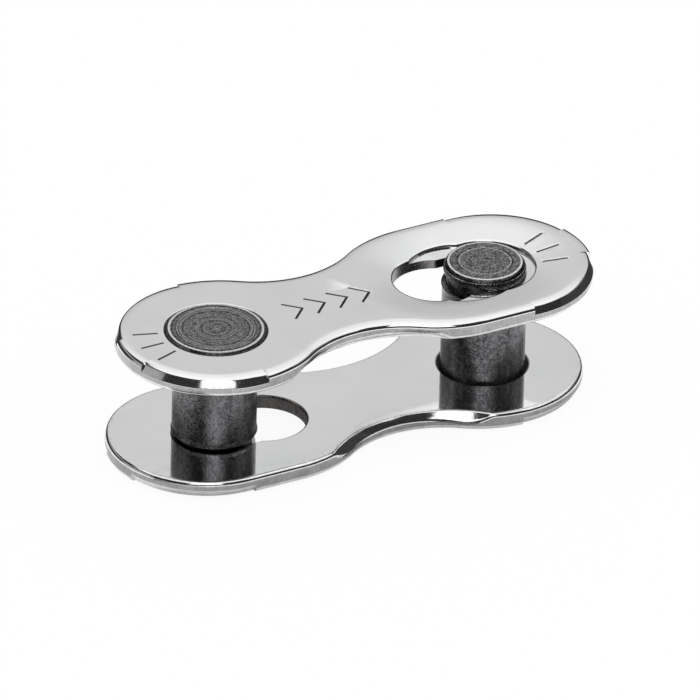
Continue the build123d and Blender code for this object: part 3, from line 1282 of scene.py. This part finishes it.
# ---- pin ------------------------------------------------------------------------------------
@dataclass(frozen=True)
class Pin:
    """Turned pin: rivet head at one end, neck and free head at the other."""

    finishes: list[bpy.types.Material]
    radius: float = 1.775
    sink_radius: float = 2.19
    rivet_rim_drop: float = 0.09
    rivet_face_radius: float = 2.04
    rivet_face_inset: float = 0.05
    rivet_edge: float = 0.05
    rivet_ring_radius: float = 1.70
    proud: float = 0.08
    neck_radius: float = 1.55
    undercut_radius: float = 1.60
    undercut_low: float = 0.02
    undercut_high: float = 0.12
    undercut_edge: float = 0.02
    collar_radius: float = 1.83
    collar_length: float = 0.32
    collar_edge: float = 0.04
    collar_fade: float = 0.3
    seat_chamfer: float = 0.06
    head_radius: float = 1.74
    head_side: float = 0.10
    head_bulge: float = 0.04
    head_edge: float = 0.03
    head_face_radius: float = 1.58
    head_face_inset: float = 0.04
    head_ring_radius: float = 1.16
    ring_depth: float = 0.03
    ring_half_width: float = 0.04
    ledge_depth: float = 0.35
    ledge_clearance: float = 0.02
    tool_pitch: float = 0.16
    tool_depth: float = 0.004
    edge_steps: int = 3
    undercut_steps: int = 2
    collar_steps: int = 4
    rivet_steps: int = 5
    face_rows: int = 150
    shoulder_rows: int = 15
    columns: int = 192

    def turned_face(self, ring: float, edge: float) -> Array:
        """Rows of a faced end, from its edge to its centre, with a ring groove and tool marks.

        The height is the face's, less tool_depth * (1 - cos(2 pi r / tool_pitch)) / 2 inside
        the ring, less a rounded groove of ring_depth at the ring.

        Args:
            ring: Radius of the groove.
            edge: Radius of the face.

        Returns:
            Rows of (radius, distance from the link's middle plane).
        """
        radius = np.linspace(edge, 0, self.face_rows)
        marks = self.tool_depth * (1 - np.cos(2 * np.pi * radius / self.tool_pitch)) / 2
        marks *= np.clip((ring - self.ring_half_width - radius) / self.tool_pitch, 0, 1)
        off = np.clip(np.abs(radius - ring) / self.ring_half_width, 0, 1)
        groove = self.ring_depth * (1 + np.cos(np.pi * off)) / 2
        return np.stack([radius, OUTER_Z + self.proud - marks - groove], axis=1)

    def profile(self) -> Array:
        """Half section of the upper pin, from the centre of its free head up to its rivet head.

        Returns:
            Rows of (radius, height).
        """
        end_z = OUTER_Z + self.proud
        head_z = self.ledge_depth - self.ledge_clearance - OUTER_Z
        shoulder_z = head_z - self.head_side
        groove_z, collar_z = self.undercut_low - INNER_Z, self.undercut_high - INNER_Z
        body = filleted([
            (self.head_radius, shoulder_z),
            (self.head_radius, head_z, self.head_edge, self.edge_steps),
            (self.neck_radius, head_z),
            (self.neck_radius, -INNER_Z - self.seat_chamfer),
            (self.undercut_radius, groove_z, self.undercut_edge, self.undercut_steps),
            (self.undercut_radius, collar_z, self.undercut_edge, self.undercut_steps),
            (self.collar_radius, collar_z, self.collar_edge, self.collar_steps),
            (self.radius, self.collar_length - INNER_Z, self.collar_fade, self.edge_steps),
            (self.radius, 0),
            (self.radius, OUTER_Z - (self.sink_radius - self.radius)),
            (self.sink_radius - self.rivet_rim_drop, OUTER_Z - self.rivet_rim_drop),
            (self.rivet_face_radius, end_z, self.rivet_edge, self.rivet_steps),
            (0, end_z),
        ])
        free = self.turned_face(
            self.head_ring_radius, self.head_face_radius - self.head_face_inset)
        rivet = self.turned_face(
            self.rivet_ring_radius, self.rivet_face_radius - self.rivet_face_inset)
        shoulder = self._shoulder((self.head_face_radius, -end_z), (self.head_radius, shoulder_z))
        return np.concatenate([free[::-1] * [1, -1], shoulder, body[1:-1], rivet])

    def _shoulder(self, face: Spot, side: Spot) -> Array:
        """The bulged shoulder between the free head's face and its side, with a rounded edge.

        It is the straight line between the two, moved out by 4 * bulge * s * (1 - s).

        Args:
            face: Edge of the face, as (radius, height).
            side: Top of the side.

        Returns:
            Rows of (radius, height).
        """
        share = np.linspace(0, 1, self.shoulder_rows)[1:, None]
        line = np.array(face) + (np.array(side) - face) * share
        out = np.array([side[1] - face[1], face[0] - side[0]])
        swell = line + out / np.linalg.norm(out) * self.head_bulge * 4 * share * (1 - share)
        edge = rounded((0, face[1]), face, tuple(swell[1]), self.head_edge, self.edge_steps)
        return np.concatenate([edge, swell[1:]])

    def build(self, name: str, turn: int) -> bpy.types.Object:
        """Builds the pin of one half: its profile turned about the pin's axis.

        Args:
            name: Name of the piece.
            turn: 1 for the upper half, -1 for the lower one.

        Returns:
            The piece.
        """
        patches = Patchwork()
        patches.grid(revolved(self.profile(), self.columns), 0)
        return patches.piece(name, self.finishes, turn)


# ---- studio ---------------------------------------------------------------------------------
@dataclass(frozen=True)
class Card:
    """A stretch of the studio as the metal sees it, by azimuth from the camera and elevation."""

    azimuth: float
    half_width: float
    low: float
    high: float
    brightness: float
    softness: float = 4.0


@dataclass(frozen=True)
class Studio:
    """Camera, floor, lamp and surroundings.

    Metal sees a bright floor near by, a dark band about the horizon, and a tent that gets
    brighter upwards, with cards in it.  Below the horizon, bands and cards lie on the floor.
    A rise is a change of brightness between two elevations, the same all round.
    """

    floor_z: float
    azimuth: float = -28.66
    elevation: float = 30.384
    distance: float = 1200.0
    aim: Triple = (0.0202, -0.0110, 0.2175)
    roll: float = 1.3613
    lens: float = 1478.57
    sensor_width: float = 36.0
    clip: Spot = (0.1, 10.0)
    floor_half_size: float = 400.0
    floor_grain: float = 0.8
    floor_dark: Triple = (0.99, 0.99, 0.99)
    floor_light: Triple = (1.0, 1.0, 1.0)
    floor_glow: float = 0.93
    floor_brightness: float = 0.97
    link_height: float = 5.5
    far: Spot = (-29.0, -26.0)
    lamp_share: float = 0.25
    lamp_height: float = 300.0
    lamp_size: float = 250.0
    rises: tuple[Triple, ...] = (
        (-23.0, -20.0, 0.35), (-13.0, -8.0, -1.29), (12.0, 18.0, 0.59),
        (18.0, 30.0, 0.12), (30.0, 42.0, 0.30), (44.0, 60.0, 0.16),
    )
    cards: tuple[Card, ...] = (
        Card(0, 62, 6, 56, 0.03, 1.5),
        Card(80, 18, 6, 38, 0.03, 1.5),
        Card(118, 34, -12, 26, 0.05, 1.5),
        Card(125, 27, 27, 36, 0.30, 1.5),
        Card(-110, 48, 8, 26, 0.05, 2.0),
        Card(-110, 48, 27, 36, 0.35, 2.0),
        Card(-110, 48, 38, 52, 0.04, 1.5),
        Card(-80, 18, -12, 24, 0.42),
        Card(4, 19, 26, 64, 1.5, 2.0),
        Card(-39, 11, -24, -18.5, 0.10, 1.5),
    )

    def camera(self) -> None:
        """Places the camera: it looks at aim from the azimuth and elevation, turned by roll."""
        turn, rise = math.radians(self.azimuth), math.radians(self.elevation)
        away = math.cos(rise)
        back = Vector((math.sin(turn) * away, -math.cos(turn) * away, math.sin(rise)))
        data = bpy.data.cameras.new("camera")
        data.sensor_width, data.lens = self.sensor_width, self.lens
        data.clip_start, data.clip_end = self.clip
        camera = placed("camera", data)
        place = Matrix.Translation((Vector(self.aim) + back * self.distance) * MM)
        facing = (-back).to_track_quat("-Z", "Y").to_matrix().to_4x4()
        camera.matrix_world = place @ facing @ Matrix.Rotation(math.radians(self.roll), 4, "Z")
        bpy.context.scene.camera = camera

    def _bearing(self, x: Value, y: Value) -> Value:
        """Azimuth of a direction or place, in degrees from the camera's.

        Args:
            x: Its part along X.
            y: Its part along Y.

        Returns:
            The azimuth, positive to the right.
        """
        turn = math.radians(self.azimuth)
        ahead = x * math.sin(turn) - y * math.cos(turn)
        aside = x * math.cos(turn) + y * math.sin(turn)
        return aside.math("ARCTAN2", ahead) * math.degrees(1)

    def _brightness(self, azimuth: Value, elevation: Value) -> Value:
        """What metal sees in a direction: the rises one on another, then each card over them.

        Args:
            azimuth: Degrees from the camera's side.
            elevation: Degrees above the horizon.

        Returns:
            The brightness, 1 being white.
        """
        light: Value | float = self.floor_brightness
        for low, high, change in self.rises:
            light = elevation.between(low, high) * change + light
        for card in self.cards:
            off = (azimuth - card.azimuth).math("WRAP", 180.0, -180.0).math("ABSOLUTE")
            soft = card.softness
            there = (off.between(card.half_width + soft, card.half_width)
                     * elevation.between(card.low - soft, card.low)
                     * elevation.between(card.high + soft, card.high))
            light = light + (card.brightness - light) * there
        return light

    def floor(self) -> None:
        """Lays the pale floor.  Metal sees it plain near by, and as bands and cards further off."""
        half, z = self.floor_half_size * MM, self.floor_z * MM
        mesh = bpy.data.meshes.new("floor")
        mesh.from_pydata([(-half, -half, z), (half, -half, z), (half, half, z), (-half, half, z)],
                         [], [(0, 1, 2, 3)])
        material = bpy.data.materials.new("floor")
        material.use_nodes = True
        nodes = Nodes(material.node_tree)
        colour = nodes.tint(nodes.noise(self.floor_grain), self.floor_dark, self.floor_light)
        paper = nodes.add("ShaderNodeBsdfDiffuse", inputs={"Color": colour})
        x, y, _ = nodes.split(nodes.place())
        distance = (x * x + y * y).math("SQRT")
        below = distance * 0.0 - self.link_height
        elevation = below.math("ARCTAN2", distance) * math.degrees(1)
        camera, glossy = nodes.ray("Camera"), nodes.ray("Glossy")
        reflected = self._brightness(self._bearing(x, y), elevation)
        glow = nodes.add("ShaderNodeEmission", inputs={
            "Color": (1, 1, 1, 1), "Strength": (reflected - 1.0) * glossy + 1.0})
        share = camera * self.floor_glow + glossy * elevation.between(*self.far)
        mixed = nodes.add("ShaderNodeMixShader", inputs={
            0: share, 1: paper.outputs[0], 2: glow.outputs[0]})
        nodes.add("ShaderNodeOutputMaterial", inputs={"Surface": mixed.outputs[0]})
        mesh.materials.append(material)
        placed("floor", mesh)

    def surroundings(self) -> None:
        """Makes the world: white to the eye, a light tent with dark and bright cards to metal."""
        world = bpy.data.worlds.new("studio")
        bpy.context.scene.world = world
        world.use_nodes = True
        nodes = Nodes(world.node_tree)
        x, y, z = nodes.split(nodes.add("ShaderNodeTexCoord").outputs["Generated"])
        elevation = z.math("ARCSINE") * math.degrees(1)
        light = self._brightness(self._bearing(x, y), elevation)
        even = 1.0 - nodes.ray("Diffuse") * self.lamp_share
        strength = even + (light - even) * nodes.ray("Glossy")
        inputs = {"Color": (1, 1, 1, 1), "Strength": strength}
        lit = nodes.add("ShaderNodeBackground", inputs=inputs)
        nodes.add("ShaderNodeOutputWorld", inputs={"Surface": lit.outputs[0]})

    def lamp(self) -> None:
        """Hangs one soft lamp above, which gives the floor its shadow."""
        data = bpy.data.lights.new("lamp", "AREA")
        data.shape = "DISK"
        height = self.lamp_height * MM
        data.size = self.lamp_size * MM
        data.energy = self.lamp_share * math.pi * math.pi * (height ** 2 + data.size ** 2 / 4)
        lamp = placed("lamp", data)
        lamp.location = (0, 0, height)
        lamp.visible_glossy = False

    def build(self) -> None:
        """Builds the whole studio."""
        self.camera()
        self.floor()
        self.surroundings()
        self.lamp()
        bpy.context.scene.view_settings.view_transform = "Standard"


# ---- link -----------------------------------------------------------------------------------
class Half(Enum):
    """The two half-links and how each is turned."""

    UPPER = 1
    LOWER = -1


@dataclass(frozen=True)
class Link:
    """The connecting link: two half-links, each a plate and its pin."""

    plate_finishes: tuple[Finish, ...] = (
        PolishedNickel("polished_nickel", (0.77, 0.775, 0.78), (0.81, 0.81, 0.81),
                       0.04, 0.09, 0.0005),
        ShearedEdge("sheared_edge", (0.27, 0.27, 0.27), (0.42, 0.42, 0.42), 0.14, 0.26, 0.003),
        ShearedEdge("coined_bevel", (0.62, 0.62, 0.625), (0.88, 0.88, 0.88), 0.06, 0.14, 0.0018,
                    streak_scale=9.0, grain_scale=14.0),
        # darker copy of the wall's finish on the walls of the holes: painted shade
        ShearedEdge("hole_wall_painted_shade", (0.17, 0.16, 0.155), (0.34, 0.325, 0.315), 0.20, 0.34, 0.004),
        EtchedMark("etched_mark", (0.05, 0.05, 0.05), (0.14, 0.14, 0.14), 0.4, 0.6, 0.004),
    )
    pin_finish: Finish = TurnedSteel(
        "turned_steel", (0.02, 0.02, 0.022), (0.30, 0.30, 0.31), 0.17, 0.30, 0.007)

    def build(self) -> None:
        """Builds both halves and hands each piece to its body."""
        plate = Plate([finish.material() for finish in self.plate_finishes])
        pin = Pin([self.pin_finish.material()])
        for half in Half:
            side = half.name.lower()
            for slot, kind in (("plate", plate), ("pin", pin)):
                made = kind.build(f"{side}_{slot}_dressed", half.value)
                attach(made, f"{side}_half")
                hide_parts(f"{side}_{slot}")


def main() -> None:
    """Builds the studio and the link."""
    logging.basicConfig(level=logging.INFO, format="%(name)s: %(message)s")
    Studio(floor_z=CAD_BOX[0].z / MM).build()
    Link().build()


if __name__ == "__main__":
    main()
